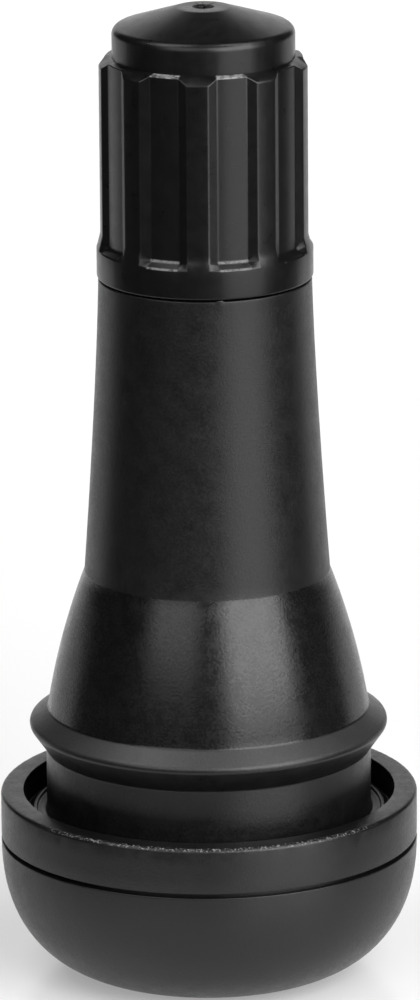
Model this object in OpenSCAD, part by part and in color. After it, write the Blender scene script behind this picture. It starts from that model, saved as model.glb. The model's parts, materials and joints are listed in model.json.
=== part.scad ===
// Snap-in tyre valve for a tubeless wheel: a rubber body moulded round a brass stem,
// a spring-loaded valve core inside the stem, and a ribbed cap screwed over its thread.
// The axis is Z and the underside of the base lies on z = 0. Sizes are in millimetres.
// Heights stack from the floor up, so a change low down lifts everything above it.

/* [Base] */
// Diameter of the base
base_d = 19; // [18.4:0.1:22]
// Height of the base, from the floor to its rim
base_h = 8.45; // [7.6:0.05:10]
// Diameter of the flat that the base stands on
flat_d = 8; // [7:0.5:11]
// Height of the rounded bowl under the parting groove
bowl_h = 6.15; // [5:0.05:6.8]
// Fullness of the bowl's curve: 2 is an ellipse and more is squarer
bowl_power = 2.28; // [2:0.02:3]
// Height of the parting groove round the base
groove_w = 0.2; // [0.1:0.05:0.3]
// Depth of the parting groove
groove_depth = 0.25; // [0.1:0.05:0.5]
// Width of the rim's top
rim_w = 1.03; // [0.8:0.01:1.1]
// Rounding of the rim's outer edge
rim_round = 0.2; // [0.1:0.05:0.5]
// Depth of the recess inside the rim
recess_depth = 1; // [0.5:0.05:1.5]
// Diameter of the sealing bead in the recess
bead_d = 15.9; // [15.6:0.05:16.2]
// Width of the sealing bead
bead_w = 0.2; // [0.1:0.05:0.3]
// Height of the sealing bead over the recess floor
bead_h = 0.15; // [0.05:0.05:0.3]
// Depth of the channel outside the bead, under the recess floor
channel_depth = 0.25; // [0.1:0.05:0.5]

/* [Neck, lip and flare] */
// Diameter of the neck that the wheel's hole squeezes
neck_d = 14.8; // [14:0.1:15.2]
// Height of the neck over the rim
neck_rise = 2.05; // [1.5:0.05:4]
// Diameter of the lip's edge, before rounding
lip_d = 16.5; // [15.6:0.1:17]
// Height of the lip's edge over the neck
lip_rise = 1.2; // [0.6:0.05:1.6]
// Rounding of the lip's edge
lip_round = 0.3; // [0.1:0.05:0.4]
// Diameter of the crease on top of the lip
crease_d = 14.62; // [13.6:0.02:15]
// Height of the crease over the lip's edge
crease_rise = 0.7; // [0.5:0.05:1.2]
// Height of the flare over the crease
flare_h = 6.45; // [5:0.05:9]
// Bulge of the flare, out of the straight line between its ends
flare_bulge = 0.17; // [0.05:0.01:0.4]

/* [Sleeve] */
// Diameter of the sleeve where the flare begins
shoulder_d = 11.14; // [10.6:0.02:12]
// Height of the sleeve
sleeve_h = 13.55; // [11:0.05:30]
// Diameter of the sleeve's top
sleeve_top_d = 9.62; // [9.2:0.02:10.4]
// Hollowness of the sleeve's taper: 1 is a straight cone
sleeve_power = 1.33; // [1:0.01:1.6]

/* [Brass stem] */
// Outer diameter of the cap thread
thread_d = 7.7; // [7.3:0.05:7.9]
// Length of the thread over the rubber
thread_len = 9.9; // [9:0.1:14]
// Length of the thread that the rubber covers
thread_buried = 0.8; // [0.4:0.1:3]
// Chamfer at the stem's mouth
tip_chamfer = 0.5; // [0.2:0.05:0.6]
// Diameter of the shank inside the rubber
shank_d = 6.9; // [6.4:0.1:7.2]
// Diameter of the foot that the rubber grips
foot_d = 10; // [8.5:0.1:12]
// Thickness of the foot's edge
foot_t = 0.8; // [0.4:0.1:2]
// Height of the foot's taper
foot_taper_h = 1.8; // [1:0.1:4]
// Thickness of the rubber under the foot
sole_t = 2; // [1:0.1:3]
// Diameter of the air passage up the shank
air_bore_d = 3.3; // [2.4:0.1:3.5]
// Gap round the air passage where it passes through the sole
sole_hole_clear = 0.15; // [0.05:0.05:0.4]

/* [Core chamber] */
// Diameter of the chamber that takes the core's thread
chamber_d = 5.2; // [5:0.05:5.4]
// Depth of that chamber under the core's plug
chamber_spare = 0.5; // [0.3:0.1:1]
// Diameter at the top of the core's tapered seat
seat_top_d = 4.6; // [4.5:0.02:4.8]
// Diameter of the bore that the tapered seat leads to
seat_bore_d = 4; // [3.9:0.02:4.2]
// Room left under the core when it is pressed
core_room = 1; // [0.5:0.1:3]

/* [Valve core] */
// Depth of the pin's tip under the stem's mouth
pin_set = 0.3; // [0.1:0.05:0.8]
// Diameter of the pin
pin_d = 1; // [0.8:0.05:1.1]
// Diameter of the pin's head
pin_head_d = 1.6; // [1.3:0.05:1.8]
// Height of the pin's head
pin_head_h = 0.5; // [0.3:0.05:0.8]
// Way that the pin can be pressed down
press_travel = 1.4; // [1:0.1:2]
// Gap left between the pressed pin's head and the plug
press_spare = 0.15; // [0.1:0.05:0.5]
// Height of the plug's blade, which a core tool turns
blade_h = 1.5; // [1:0.1:2]
// Width of the blade
blade_w = 2; // [1.7:0.1:2.4]
// Diameter over the blade's ends
blade_d = 4.3; // [4.1:0.05:4.5]
// Height of the plug's threaded ring
plug_ring_h = 2.4; // [2:0.1:4]
// Diameter of the passage through the plug
plug_bore_d = 3.4; // [3.2:0.05:3.5]
// Gap round the plug in its chamber
plug_clear = 0.05; // [0.03:0.01:0.1]
// Gap round the pin where the plug guides it
pin_clear = 0.12; // [0.08:0.01:0.2]
// Height of the barrel's spigot inside the plug
spigot_h = 1; // [0.6:0.1:1.6]
// Gap round the spigot
spigot_clear = 0.05; // [0.03:0.01:0.08]
// Height of the barrel's flange under the plug
flange_h = 1.4; // [1:0.1:2]
// Gap round the flange in the stem
flange_clear = 0.1; // [0.05:0.01:0.2]
// Height of the tapered gasket
gasket_h = 1.3; // [1:0.1:2]
// Diameter of the barrel inside the gasket
gasket_bore_d = 3.2; // [3.1:0.05:3.4]
// Gap between the gasket and its seat
gasket_clear = 0.03; // [0.02:0.01:0.06]
// Diameter of the barrel under the gasket
barrel_d = 3.6; // [3.5:0.05:3.7]
// Height of the barrel under the gasket
barrel_h = 4; // [3.6:0.1:6]
// Diameter of the spring's chamber in the barrel
spring_room_d = 2.6; // [2.5:0.02:2.8]
// Thickness of the step that the spring stands on
spring_step_t = 1; // [0.6:0.1:1.4]
// Diameter of the barrel's sealing nose
nose_d = 2.5; // [2.3:0.05:2.6]
// Height of the sealing nose
nose_h = 0.5; // [0.3:0.1:0.8]
// Diameter of the air passage through the nose
nose_bore_d = 1.9; // [1.7:0.05:2]
// Diameter of the pin's collar
collar_d = 2.3; // [2.1:0.02:2.4]
// Thickness of the collar
collar_t = 0.4; // [0.3:0.05:0.6]
// Depth of the collar under the plug
collar_set = 0.3; // [0.2:0.05:0.6]
// Diameter of the spring, at the middle of its wire
spring_d = 1.8; // [1.7:0.02:1.9]
// Diameter of the spring's wire
spring_wire_d = 0.28; // [0.2:0.02:0.32]
// Number of turns in the spring
spring_turns = 7; // [5:1:9]
// Thickness of the plunger's rubber
plunger_t = 0.7; // [0.5:0.05:1]
// Diameter of the plunger's rubber
plunger_d = 2.9; // [2.8:0.02:3]
// Gap round the plunger's rubber in its cup
plunger_clear = 0.05; // [0.02:0.01:0.08]
// Thickness of the plunger cup's wall
cup_wall = 0.2; // [0.15:0.01:0.25]
// Thickness of the plunger cup's floor
cup_floor_t = 0.4; // [0.3:0.05:0.6]
// Height by which the rubber stands out of the cup
plunger_proud = 0.15; // [0.1:0.05:0.3]
// Diameter of the pin's riveted end under the cup
rivet_d = 1.7; // [1.4:0.05:2]
// Height of the riveted end
rivet_h = 0.35; // [0.2:0.05:0.6]

/* [Cap] */
// Gap between the cap and the top of the sleeve
cap_gap = 0.12; // [0.1:0.02:0.4]
// Height of the cap's top over the stem's mouth
cap_over = 2.52; // [2.4:0.02:4]
// Diameter of the plain band at the cap's mouth
band_d = 9.74; // [9.5:0.02:10.4]
// Height of the plain band
band_h = 1.31; // [0.8:0.01:2.5]
// Rounding of the band's lower edge
band_round = 0.22; // [0.1:0.02:0.3]
// Height of the sloped ledge over the band
ledge_h = 0.22; // [0.1:0.02:0.5]
// Diameter over the ribs
rib_d = 9.38; // [9.2:0.02:9.7]
// Diameter at the floor of the flutes between the ribs
flute_d = 9.02; // [8.8:0.02:9.1]
// Number of ribs
rib_n = 9; // [6:1:12]
// Angle that a rib's face takes up
rib_face_deg = 12; // [8:0.5:16]
// Angle that each sloped side of a rib takes up
rib_side_deg = 5.2; // [2:0.1:6]
// Turn of the first rib round the axis, from the X axis
rib_turn_deg = -93.6; // [-180:0.1:180]
// Reach of the slope at the ribs' top ends, in from the ribs' face
rib_bevel_w = 0.39; // [0.2:0.01:0.5]
// Height of that slope
rib_bevel_h = 0.36; // [0.2:0.01:0.8]
// Diameter of the crown over the ribs
crown_d = 8.2; // [8.1:0.02:8.6]
// Height of the crown's straight side
crown_h = 1.19; // [0.4:0.01:2]
// Rounding of the crown's shoulder
crown_round = 0.2; // [0.1:0.01:0.5]
// Height of the cone from the crown to the flat on top
dome_h = 1.07; // [0.9:0.01:2]
// Diameter of the flat on top
top_d = 2.6; // [1.6:0.1:4]
// Gap between the cap's bore and the stem's thread
thread_clear = 0.07; // [0.05:0.01:0.12]
// Thickness of the sealing ring in the cap
seal_t = 0.7; // [0.5:0.05:0.9]
// Outer diameter of the sealing ring
seal_d = 6.8; // [6.6:0.05:7]
// Inner diameter of the sealing ring
seal_bore_d = 3; // [2:0.1:3.6]
// Gap round the sealing ring in the cap
seal_clear = 0.05; // [0.02:0.01:0.08]
// Thickness of the cap's top
cap_top_t = 1.05; // [0.8:0.05:1.3]

/* [Hidden] */
$fn = 96;

rubber_black = [0.07, 0.07, 0.075];
cap_black = [0.05, 0.05, 0.055];
brass = [0.78, 0.6, 0.28];
steel = [0.72, 0.73, 0.74];
gasket_red = [0.55, 0.12, 0.1];

// Heights of the rubber body
floor_z = base_h - recess_depth;
neck_top_z = base_h + neck_rise;
lip_z = neck_top_z + lip_rise;
crease_z = lip_z + crease_rise;
shoulder_z = crease_z + flare_h;
sleeve_top_z = shoulder_z + sleeve_h;

// Heights of the stem and of what the core hangs from
stem_top_z = sleeve_top_z + thread_len;
thread_end_z = sleeve_top_z - thread_buried;
pin_top_z = stem_top_z - pin_set;
pin_head_z = pin_top_z - pin_head_h;
plug_top_z = pin_head_z - press_travel - press_spare;
blade_z = plug_top_z - blade_h;
plug_z = blade_z - plug_ring_h;
flange_z = plug_z - flange_h;
gasket_z = flange_z - gasket_h;
nose_top_z = gasket_z - barrel_h;
nose_z = nose_top_z - nose_h;
spring_z = nose_top_z + spring_step_t;
collar_z = plug_z - collar_set - collar_t;
plunger_z = nose_z - plunger_t;
cup_z = plunger_z - cup_floor_t;
pin_z = cup_z - rivet_h;
chamber_z = plug_z - chamber_spare;
core_bore_z = pin_z - press_travel - core_room;

// Heights of the cap
cap_z = sleeve_top_z + cap_gap;
cap_top_z = stem_top_z + cap_over;
dome_z = cap_top_z - dome_h;
rib_top_z = dome_z - crown_h;
band_top_z = cap_z + band_h;
seal_z = stem_top_z;
ceiling_z = seal_z + seal_t;

// How far a cut or a fused piece runs past the face that it crosses
overrun = 1;
// Points along one rounded edge, and along the long curves
edge_points = 5;
curve_points = 16;

function unit(v) = v / norm(v);
function on_arc(centre, r, angle) = centre + r * [cos(angle), sin(angle)];
function wrapped(angle) = angle > 180 ? angle - 360 : angle < -180 ? angle + 360 : angle;

// Arc that rounds the corner b of the line a, b, c
function rounded(a, b, c, r) =
    let (
        u = unit(a - b),
        v = unit(c - b),
        half = acos(u * v) / 2,
        centre = b + unit(u + v) * r / sin(half),
        p = b + u * r / tan(half) - centre,
        q = b + v * r / tan(half) - centre,
        start = atan2(p.y, p.x),
        sweep = wrapped(atan2(q.y, q.x) - start)
    )
    [for (i = [0 : edge_points]) on_arc(centre, r, start + sweep * i / edge_points)];

// Arc from a to b that bulges to the right of the way from a to b
function bulged(a, b, bulge) =
    let (
        half_chord = norm(b - a) / 2,
        r = (half_chord ^ 2 + bulge ^ 2) / (2 * bulge),
        along = unit(b - a),
        right = [along.y, -along.x],
        centre = (a + b) / 2 + right * (bulge - r),
        half_sweep = asin(half_chord / r),
        middle = atan2(right.y, right.x)
    )
    [for (i = [0 : curve_points])
        on_arc(centre, r, middle + half_sweep * (2 * i / curve_points - 1))];

// Curve of the bowl, from the flat underside out to the parting groove
function bowl() =
    [for (i = [0 : curve_points])
        let (angle = 90 * i / curve_points)
        [flat_d / 2 + (base_d - flat_d) / 2 * sin(angle) ^ (2 / bowl_power),
         bowl_h * (1 - cos(angle) ^ (2 / bowl_power))]];

// Taper of the sleeve, from the shoulder up to its top
function sleeve() =
    [for (i = [0 : curve_points])
        let (up = i / curve_points)
        [(sleeve_top_d + (shoulder_d - sleeve_top_d) * (1 - up) ^ sleeve_power) / 2,
         shoulder_z + sleeve_h * up]];

// Outside of the brass stem, from the foot up to the mouth, closed on the axis
function stem_outside() =
    [[0, sole_t],
     [foot_d / 2, sole_t],
     [foot_d / 2, sole_t + foot_t],
     [shank_d / 2, sole_t + foot_t + foot_taper_h],
     [shank_d / 2, thread_end_z - (thread_d - shank_d) / 2],
     [thread_d / 2, thread_end_z],
     [thread_d / 2, stem_top_z - tip_chamfer],
     [thread_d / 2 - tip_chamfer, stem_top_z],
     [0, stem_top_z]];

// Ring between two diameters and two heights
module ring(outer_d, inner_d, z0, z1) {
    rotate_extrude()
        translate([inner_d / 2, z0])
            square([(outer_d - inner_d) / 2, z1 - z0]);
}

module rubber_body() {
    groove_floor = base_d / 2 - groove_depth;
    groove_top_z = bowl_h + groove_w;
    rim_top = [base_d / 2, base_h];
    rim_inside = base_d / 2 - rim_w;
    channel_z = floor_z - channel_depth;
    bead_z = floor_z + bead_h;
    neck_top = [neck_d / 2, neck_top_z];
    lip = [lip_d / 2, lip_z];
    crease = [crease_d / 2, crease_z];
    color(rubber_black)
        rotate_extrude()
            difference() {
                polygon(concat(
                    [[0, 0]],
                    bowl(),
                    [[groove_floor, bowl_h],
                     [groove_floor, groove_top_z],
                     [base_d / 2, groove_top_z]],
                    rounded([base_d / 2, groove_top_z], rim_top, [rim_inside, base_h], rim_round),
                    [[rim_inside, base_h],
                     [rim_inside, channel_z],
                     [(bead_d + bead_w) / 2, channel_z],
                     [(bead_d + bead_w) / 2, bead_z],
                     [(bead_d - bead_w) / 2, bead_z],
                     [(bead_d - bead_w) / 2, floor_z],
                     [neck_d / 2, floor_z],
                     neck_top],
                    rounded(neck_top, lip, crease, lip_round),
                    bulged(crease, [shoulder_d / 2, shoulder_z], flare_bulge),
                    sleeve(),
                    [[0, sleeve_top_z]]
                ));
                polygon(stem_outside());
                square([air_bore_d / 2 + sole_hole_clear, sole_t + overrun]);
            }
}

module brass_stem() {
    bore_taper_h = (seat_bore_d - air_bore_d) / 2;
    color(brass)
        rotate_extrude()
            difference() {
                polygon(stem_outside());
                polygon([
                    [0, sole_t - overrun],
                    [air_bore_d / 2, sole_t - overrun],
                    [air_bore_d / 2, core_bore_z - bore_taper_h],
                    [seat_bore_d / 2, core_bore_z],
                    [seat_bore_d / 2, gasket_z],
                    [seat_top_d / 2, flange_z],
                    [seat_top_d / 2, chamber_z],
                    [chamber_d / 2, chamber_z],
                    [chamber_d / 2, stem_top_z + overrun],
                    [0, stem_top_z + overrun]
                ]);
            }
}

module core_plug() {
    color(brass)
        difference() {
            union() {
                ring(chamber_d - 2 * plug_clear, plug_bore_d, plug_z, blade_z);
                intersection() {
                    translate([0, 0, blade_z - overrun])
                        cylinder(d = blade_d, h = blade_h + overrun);
                    translate([-blade_d / 2, -blade_w / 2, blade_z - overrun])
                        cube([blade_d, blade_w, blade_h + overrun]);
                }
            }
            translate([0, 0, plug_z])
                cylinder(d = pin_d + 2 * pin_clear, h = plug_top_z - plug_z + overrun);
        }
}

module core_barrel() {
    spigot_d = plug_bore_d - 2 * spigot_clear;
    flange_d = seat_top_d - 2 * flange_clear;
    color(brass)
        rotate_extrude()
            polygon([
                [nose_bore_d / 2, nose_z],
                [nose_d / 2, nose_z],
                [nose_d / 2, nose_top_z],
                [barrel_d / 2, nose_top_z],
                [barrel_d / 2, gasket_z],
                [gasket_bore_d / 2, gasket_z],
                [gasket_bore_d / 2, flange_z],
                [flange_d / 2, flange_z],
                [flange_d / 2, plug_z],
                [spigot_d / 2, plug_z],
                [spigot_d / 2, plug_z + spigot_h],
                [spring_room_d / 2, plug_z + spigot_h],
                [spring_room_d / 2, spring_z],
                [nose_bore_d / 2, spring_z]
            ]);
}

module barrel_gasket() {
    color(gasket_red)
        rotate_extrude()
            polygon([
                [gasket_bore_d / 2, gasket_z],
                [seat_bore_d / 2 - gasket_clear, gasket_z],
                [seat_top_d / 2 - gasket_clear, flange_z],
                [gasket_bore_d / 2, flange_z]
            ]);
}

// Closed-end compression spring between the barrel's step and the pin's collar
module core_spring() {
    steps_per_turn = 20;
    sides = 8;
    rings = spring_turns * steps_per_turn;
    end_pitch = 1.15 * spring_wire_d;
    coil_h = collar_z - spring_z - spring_wire_d;
    open_pitch = (coil_h - 2 * end_pitch) / (spring_turns - 2);
    function rise(turn) =
        turn < 1 ? turn * end_pitch
        : turn > spring_turns - 1 ? coil_h - (spring_turns - turn) * end_pitch
        : end_pitch + (turn - 1) * open_pitch;
    function wire_point(ring, side) =
        let (
            around = 360 * ring / steps_per_turn,
            section = on_arc([spring_d / 2, 0], spring_wire_d / 2, 360 * side / sides)
        )
        [section.x * cos(around), section.x * sin(around),
         spring_z + spring_wire_d / 2 + rise(ring / steps_per_turn) + section.y];
    points = [for (ring = [0 : rings], side = [0 : sides - 1]) wire_point(ring, side)];
    walls = [for (ring = [0 : rings - 1], side = [0 : sides - 1])
        let (next = (side + 1) % sides)
        [ring * sides + side, (ring + 1) * sides + side,
         (ring + 1) * sides + next, ring * sides + next]];
    ends = [[for (side = [0 : sides - 1]) side],
            [for (side = [sides - 1 : -1 : 0]) rings * sides + side]];
    color(steel)
        polyhedron(points, concat(walls, ends));
}

module core_pin() {
    color(steel)
        rotate_extrude()
            polygon([
                [0, pin_z],
                [rivet_d / 2, pin_z],
                [rivet_d / 2, cup_z],
                [pin_d / 2, cup_z],
                [pin_d / 2, collar_z],
                [collar_d / 2, collar_z],
                [collar_d / 2, collar_z + collar_t],
                [pin_d / 2, collar_z + collar_t],
                [pin_d / 2, pin_head_z],
                [pin_head_d / 2, pin_head_z],
                [pin_head_d / 2, pin_top_z],
                [0, pin_top_z]
            ]);
}

module plunger_cup() {
    cup_inside = plunger_d / 2 + plunger_clear;
    cup_top_z = nose_z - plunger_proud;
    color(brass)
        rotate_extrude()
            polygon([
                [pin_d / 2, cup_z],
                [cup_inside + cup_wall, cup_z],
                [cup_inside + cup_wall, cup_top_z],
                [cup_inside, cup_top_z],
                [cup_inside, plunger_z],
                [pin_d / 2, plunger_z]
            ]);
}

module plunger_gasket() {
    color(rubber_black)
        ring(plunger_d, pin_d, plunger_z, nose_z);
}

module cap_seal() {
    color(rubber_black)
        ring(seal_d, seal_bore_d, seal_z, ceiling_z);
}

// Section across the ribs: a round core with a sloped-sided ridge at every step.
// Each side of a ridge runs on into the core, so that it crosses the core's edge cleanly.
module rib_section() {
    face = on_arc([0, 0], rib_d / 2, rib_face_deg / 2);
    root = on_arc([0, 0], flute_d / 2, rib_face_deg / 2 + rib_side_deg);
    buried = 2 * root - face;
    ridge_x = root.x + (face.x - root.x) * root.y / (root.y - face.y);
    circle(d = flute_d);
    for (i = [0 : rib_n - 1])
        rotate(rib_turn_deg + i * 360 / rib_n)
            polygon([buried, [ridge_x, 0], [buried.x, -buried.y]]);
}

module cap_shell() {
    ledge_slope = ledge_h / (band_d - flute_d);
    ledge_inner_d = crown_d - 2 * overrun;
    ledge_top_z = band_top_z + ledge_slope * (band_d - ledge_inner_d);
    crown = [crown_d / 2, dome_z];
    crown_foot = [crown_d / 2, rib_top_z];
    top_edge = [top_d / 2, cap_top_z];
    bore_r = thread_d / 2 + thread_clear;
    pocket_r = seal_d / 2 + seal_clear;
    color(cap_black)
        difference() {
            union() {
                // Band with its sloped ledge
                rotate_extrude()
                    polygon(concat(
                        [[0, cap_z]],
                        rounded([0, cap_z], [band_d / 2, cap_z], [band_d / 2, band_top_z],
                            band_round),
                        [[band_d / 2, band_top_z],
                         [ledge_inner_d / 2, ledge_top_z],
                         [0, ledge_top_z]]
                    ));
                // Ribs, turned to their diameter and sloped off at their top ends
                intersection() {
                    translate([0, 0, cap_z + band_round])
                        linear_extrude(height = rib_top_z - cap_z)
                            rib_section();
                    rotate_extrude()
                        polygon([
                            [0, cap_z],
                            [rib_d / 2, cap_z],
                            [rib_d / 2, rib_top_z - rib_bevel_h],
                            [rib_d / 2 - rib_bevel_w, rib_top_z],
                            [0, rib_top_z]
                        ]);
                }
                // Crown and dome
                rotate_extrude()
                    polygon(concat(
                        [[0, band_top_z],
                         [crown_d / 2, band_top_z]],
                        rounded(crown_foot, crown, top_edge, crown_round),
                        [top_edge, [0, cap_top_z]]
                    ));
            }
            // Bore over the stem, pocket for the sealing ring and hollow under the dome
            rotate_extrude()
                polygon([
                    [0, cap_z - overrun],
                    [bore_r, cap_z - overrun],
                    [bore_r, stem_top_z - tip_chamfer],
                    [pocket_r, seal_z],
                    [pocket_r, ceiling_z],
                    [seal_bore_d / 2, ceiling_z],
                    [seal_bore_d / 2, cap_top_z - cap_top_t],
                    [0, cap_top_z - cap_top_t]
                ]);
        }
}

rubber_body();
brass_stem();
core_plug();
core_barrel();
barrel_gasket();
core_spring();
core_pin();
plunger_cup();
plunger_gasket();
cap_seal();
cap_shell();
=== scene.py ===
"""Tyre valve: moulded rubber body, ribbed cap, threaded brass stem and its sprung core.

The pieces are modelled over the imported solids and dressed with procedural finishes. Lengths in the
tables are millimetres and turns are degrees. The axis is Z, the base stands on z = 0 and the camera
looks along +Y.
"""

import json
import math

import bpy
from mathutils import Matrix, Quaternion, Vector

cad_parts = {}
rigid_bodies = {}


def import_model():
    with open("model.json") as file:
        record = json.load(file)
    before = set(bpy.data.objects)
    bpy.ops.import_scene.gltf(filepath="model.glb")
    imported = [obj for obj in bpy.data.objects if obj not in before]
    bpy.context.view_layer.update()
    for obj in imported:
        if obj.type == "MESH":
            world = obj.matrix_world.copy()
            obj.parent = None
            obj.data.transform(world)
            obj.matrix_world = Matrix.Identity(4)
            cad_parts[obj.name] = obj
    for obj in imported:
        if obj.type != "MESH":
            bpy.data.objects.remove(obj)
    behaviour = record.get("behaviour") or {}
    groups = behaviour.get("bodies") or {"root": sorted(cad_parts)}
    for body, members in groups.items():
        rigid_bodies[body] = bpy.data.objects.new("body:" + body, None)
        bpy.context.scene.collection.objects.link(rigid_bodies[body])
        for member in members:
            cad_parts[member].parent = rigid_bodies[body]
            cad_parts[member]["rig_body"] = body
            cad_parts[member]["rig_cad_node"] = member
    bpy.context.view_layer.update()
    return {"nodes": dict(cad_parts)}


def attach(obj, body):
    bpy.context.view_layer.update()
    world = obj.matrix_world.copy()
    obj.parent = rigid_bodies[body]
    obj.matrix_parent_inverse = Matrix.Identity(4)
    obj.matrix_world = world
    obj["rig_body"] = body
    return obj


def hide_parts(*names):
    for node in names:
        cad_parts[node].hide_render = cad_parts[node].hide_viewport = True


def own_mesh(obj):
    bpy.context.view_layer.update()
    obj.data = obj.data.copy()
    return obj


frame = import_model()

MM = 0.001
MERGE = 1e-6
NEAR = 0.01

# Rubber body
HOLE_R, HOLE_EDGE = 1.8, 0.15
FLAT_R, FLAT_LOOP = 4.0, 0.2
BASE_R = 9.5
BOWL_H, BOWL_POWER, BOWL_LOOP = 6.15, 2.28, 0.1
GROOVE_R, GROOVE_TOP, GROOVE_EDGE = 9.2, 6.36, 0.03
BAND_LOOPS = 7.0, 7.6
RIM_H, RIM_INSIDE_R, RIM_ROUND, RIM_INSIDE_EDGE = 8.45, 8.47, 0.2, 0.05
CHANNEL_Z, CHANNEL_ROUND = 7.2, 0.1
BEAD_Z, BEAD_OUT_R, BEAD_IN_R, BEAD_EDGE = 7.6, 8.05, 7.85, 0.06
FLOOR_Z, FLOOR_EDGE = 7.45, 0.05
NECK_R, NECK_FOOT_ROUND, NECK_LOOP = 7.4, 0.12, 8.5
NECK_TOP, NECK_TOP_ROUND = 10.5, 0.25
LIP_R, LIP_Z, LIP_ROUND = 8.25, 11.7, 0.28
CREASE_R, CREASE_Z, CREASE_ROUND = 7.31, 12.4, 0.22
SHOULDER_R, SHOULDER_Z = 5.57, 18.85
FLARE_BULGE, FLARE_END_LOOP = 0.17, 0.1
SLEEVE_R, SLEEVE_TOP, SLEEVE_EDGE, SLEEVE_LOOP = 4.81, 32.44, 0.05, 0.2
SLEEVE_POWER, SLEEVE_START_LOOP = 1.33, 0.07
BODY_COLUMNS = 320
TORN_TURN, TORN_REACH, TORN_DEPTH, WORN_DEPTH, RIM_KEPT = -88, 48, 0.012, 0.005, 0.03
BURR_TURN, BURR_REACH, BURR_H, BURR_W, BURR_OUT, BURR_UP = -82.3, 2.0, 0.08, 0.12, 0.02, 0.07

# Brass stem
THREAD_R, ROOT_R, PITCH = 3.85, 3.43, 0.79375
BASE_SHARE, CREST_SHARE = 0.36, 0.09
STEM_TURNS, CAP_TURNS = 12, 11
THREAD_END, THREAD_RUNOUT, STEM_TOP, THREAD_BELOW_TOP = 31.6, 0.4, 42.3, 0.45
FIRST_THREAD_Z = STEM_TOP - THREAD_BELOW_TOP - STEM_TURNS * PITCH
RIDGE_SINK, CAP_RIDGE_SINK = 0.04, 0.06
SHANK_R, FOOT_R = 3.45, 5.0
SOLE_Z, FOOT_TOP, FOOT_TAPER_TOP = 2.0, 2.8, 4.6
MOUTH_CHAMFER, MOUTH_EDGE, MOUTH_ROUND, MOUTH_DEPTH = 0.5, 0.12, 0.03, 0.15
AIR_R, SEAT_R, SEAT_TOP_R, CHAMBER_R = 1.65, 2.0, 2.3, 2.6
CORE_BORE_Z, BORE_TAPER, GASKET_Z, FLANGE_Z, CHAMBER_Z = 25.0, 0.35, 33.35, 34.65, 35.55
STEM_COLUMNS = 96

# Core
PLUG_Z, BLADE_Z, PLUG_TOP = 36.05, 38.45, 39.95
PLUG_R, SPIGOT_R, PLUG_FLOOR = 2.55, 1.7, 0.6
PLUG_FOOT_ROUND, PLUG_ROUND = 0.1, 0.15
BLADE_R, BLADE_HALF_W, BLADE_ROOT, BLADE_ROUND, BLADE_EDGE = 2.15, 1.0, 0.3, 0.15, 0.06
PIN_HOLE_R, BLADE_HOLE_R, HOLE_CHAMFER = 0.62, 0.64, 0.1
PIN_R, PIN_HEAD_R, COLLAR_R, RIVET_R = 0.5, 0.8, 1.15, 0.85
PIN_Z, CUP_Z, COLLAR_Z, COLLAR_TOP, HEAD_Z, PIN_TOP = 27.4, 27.75, 35.35, 35.75, 41.5, 42.0
RIVET_ROUND, COLLAR_ROUND, HEAD_FOOT_H, HEAD_FOOT_ROUND = 0.2, 0.05, 0.1, 0.08
HEAD_ROUND_H, HEAD_ROUND, TIP_R, TIP_ROUND = 0.1, 0.15, 0.3, 0.2
PLUG_COLUMNS, PIN_COLUMNS = 72, 48

# Cap
CAP_Z, CAP_MOUTH_CHAMFER, CAP_FOOT_ROUND = 32.52, 0.25, 0.12
CAP_TOP = 44.82
DOME_TOP = CAP_TOP - 0.01
BAND_R, BAND_TOP, BAND_LOOP = 4.87, 33.83, 0.4
RIB_R, FLUTE_R, RIBS = 4.69, 4.45, 9
RIB_FACE, RIB_SIDE, RIB_TURN = 12.0, 5.2, -93.6
LEDGE_Z, FLUTE_Z, RIB_SLOPE_Z, FLUTE_TOP, RIB_TOP = 33.87, 34.2, 42.23, 42.52, 42.56
CROWN_R, DOME_Z, CROWN_ROUND = 4.1, 43.89, 0.4
TOP_R, TOP_ROUND, TOP_FLAT_R = 1.2, 0.6, 0.5
CAP_BORE_R, CAP_CREST_R, POCKET_R, CEILING = 3.92, 3.52, 3.45, 43.0
HOLLOW_R, HOLLOW_TOP, HOLLOW_ROUND = 1.5, 43.77, 0.1
CAP_EDGE, CAP_EDGE_BEND = 0.06, 17
FLUTE_LINE = ((BAND_R, LEDGE_Z), (FLUTE_R + 0.05, FLUTE_Z - 0.12), (FLUTE_R, FLUTE_Z),
              (FLUTE_R, FLUTE_TOP), (CROWN_R + 0.06, FLUTE_TOP + 0.02))
RIB_LINE = ((BAND_R, LEDGE_Z), (RIB_R + 0.09, FLUTE_Z), (RIB_R, LEDGE_Z + 0.7),
            (RIB_R, RIB_SLOPE_Z), (RIB_R - 0.44, FLUTE_TOP))
GATE_LINE = ((0.36, DOME_TOP - 0.12), (0.25, DOME_TOP - 0.13), (0.2, DOME_TOP - 0.04),
             (0.1, DOME_TOP - 0.01), (0, DOME_TOP - 0.03))
STUB_R, STUB_DEPTH, STUB_TEAR = 0.45, 0.15, 0.05

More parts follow.
